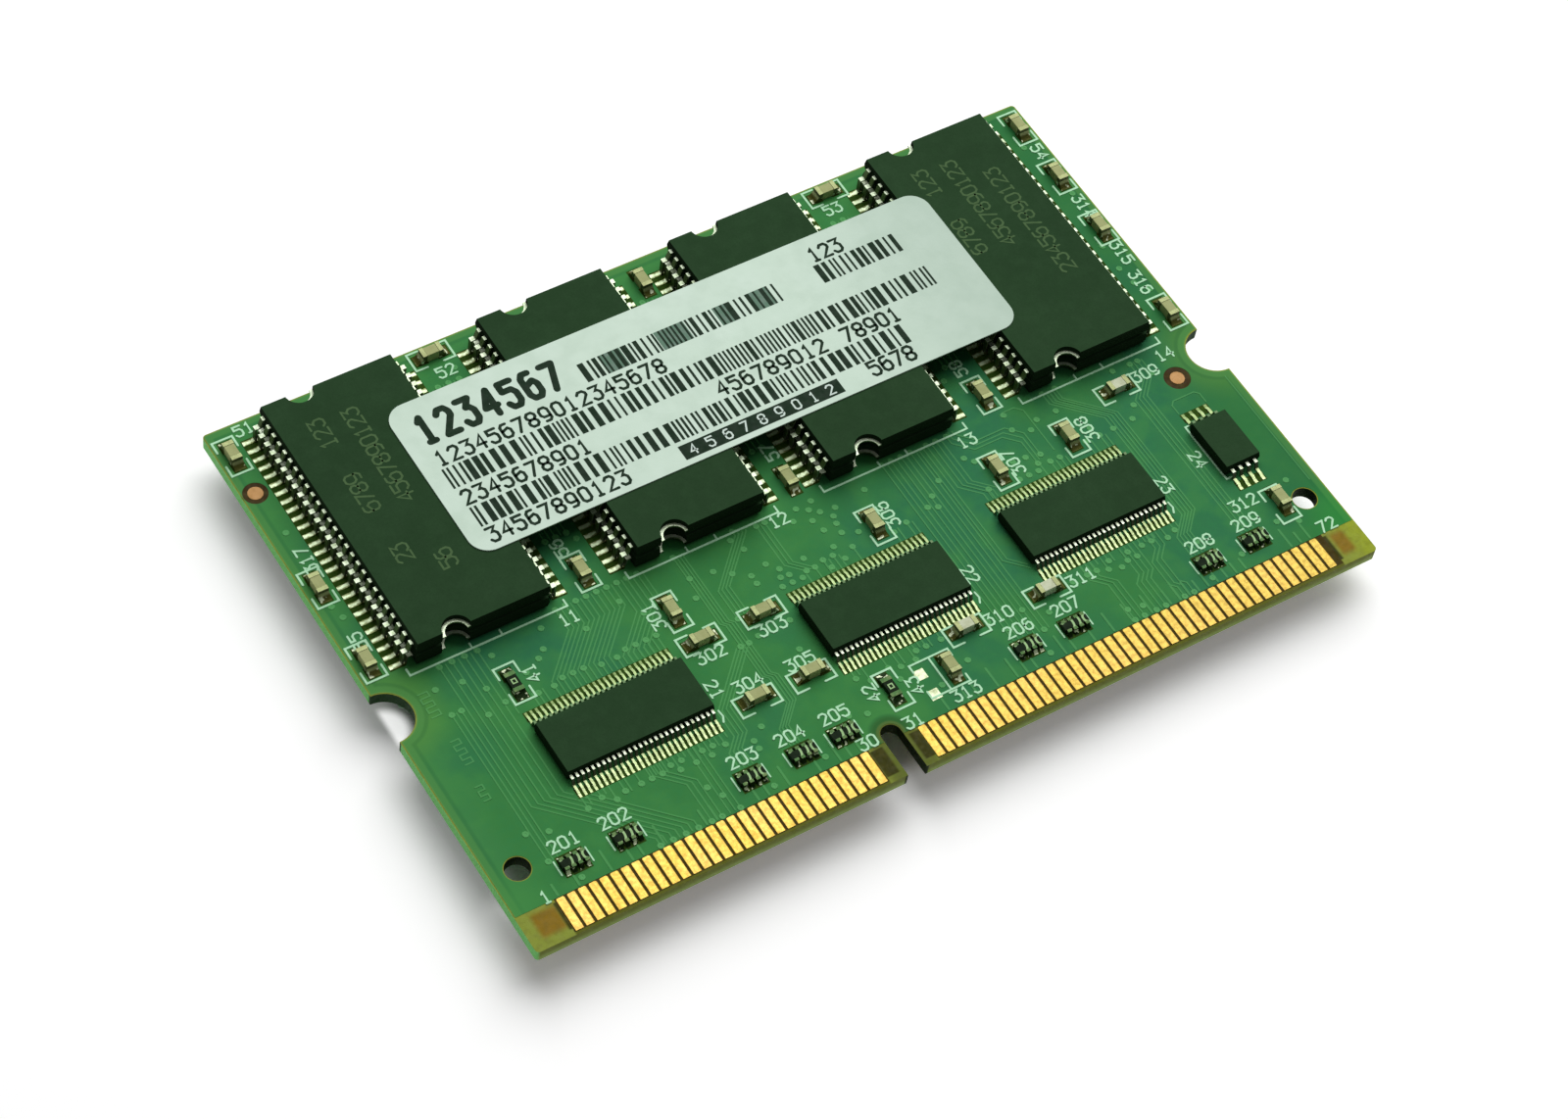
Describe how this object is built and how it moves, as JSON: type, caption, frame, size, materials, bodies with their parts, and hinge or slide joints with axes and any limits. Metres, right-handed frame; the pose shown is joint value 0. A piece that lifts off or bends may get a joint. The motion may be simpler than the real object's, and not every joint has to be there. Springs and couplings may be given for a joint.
{
  "type": "dram memory module",
  "caption": "Tall small-outline memory card: printed board with a keyed gold contact edge, stacked memory packages on both faces, registers, a clock driver and a label.",
  "frame": {"origin": "below the middle of the board, at the level of the back stacks' outer faces", "axes": "+X along the contact edge, from the shorter to the longer contact group as seen on the front, +Y from the contact edge to the back edge, +Z out of the front face"},
  "size_m": [0.0676, 0.0462, 0.0062],
  "materials": {
    "board": "green solder mask on glass-fibre laminate",
    "contacts": "gold plated",
    "tinned_metal": "tin plated lead frame alloy and solder",
    "moulding": "moulded epoxy, fine matte texture",
    "label": "film",
    "capacitor_ceramic": "fired ceramic",
    "resistor_ceramic": "glazed ceramic"
  },
  "bodies": {
    "root": {"circuit_board": "board", "front_contacts": "contacts", "back_contacts": "contacts", "bare_lands": "tinned_metal", "label": "label", "stack_1_upper_chip": "moulding", "stack_1_lower_chip": "moulding", "stack_1_upper_leads": "tinned_metal", "stack_1_lower_leads": "tinned_metal", "stack_2_upper_chip": "moulding", "stack_2_lower_chip": "moulding", "stack_2_upper_leads": "tinned_metal", "stack_2_lower_leads": "tinned_metal", "stack_3_upper_chip": "moulding", "stack_3_lower_chip": "moulding", "stack_3_upper_leads": "tinned_metal", "stack_3_lower_leads": "tinned_metal", "stack_4_upper_chip": "moulding", "stack_4_lower_chip": "moulding", "stack_4_upper_leads": "tinned_metal", "stack_4_lower_leads": "tinned_metal", "stack_5_upper_chip": "moulding", "stack_5_lower_chip": "moulding", "stack_5_upper_leads": "tinned_metal", "stack_5_lower_leads": "tinned_metal", "stack_6_upper_chip": "moulding", "stack_6_lower_chip": "moulding", "stack_6_upper_leads": "tinned_metal", "stack_6_lower_leads": "tinned_metal", "stack_7_upper_chip": "moulding", "stack_7_lower_chip": "moulding", "stack_7_upper_leads": "tinned_metal", "stack_7_lower_leads": "tinned_metal", "stack_8_upper_chip": "moulding", "stack_8_lower_chip": "moulding", "stack_8_upper_leads": "tinned_metal", "stack_8_lower_leads": "tinned_metal", "stack_9_upper_chip": "moulding", "stack_9_lower_chip": "moulding", "stack_9_upper_leads": "tinned_metal", "stack_9_lower_leads": "tinned_metal", "register_1_chip": "moulding", "register_1_leads": "tinned_metal", "register_2_chip": "moulding", "register_2_leads": "tinned_metal", "register_3_chip": "moulding", "register_3_leads": "tinned_metal", "ident_memory_chip": "moulding", "ident_memory_leads": "tinned_metal", "clock_driver_chip": "moulding", "clock_driver_leads": "tinned_metal", "front_capacitors": "capacitor_ceramic", "front_capacitor_ends": "tinned_metal", "back_capacitors": "capacitor_ceramic", "back_capacitor_ends": "tinned_metal", "front_resistors": "resistor_ceramic", "front_resistor_ends": "tinned_metal", "back_resistors": "resistor_ceramic", "back_resistor_ends": "tinned_metal"}
  },
  "joints": []
}
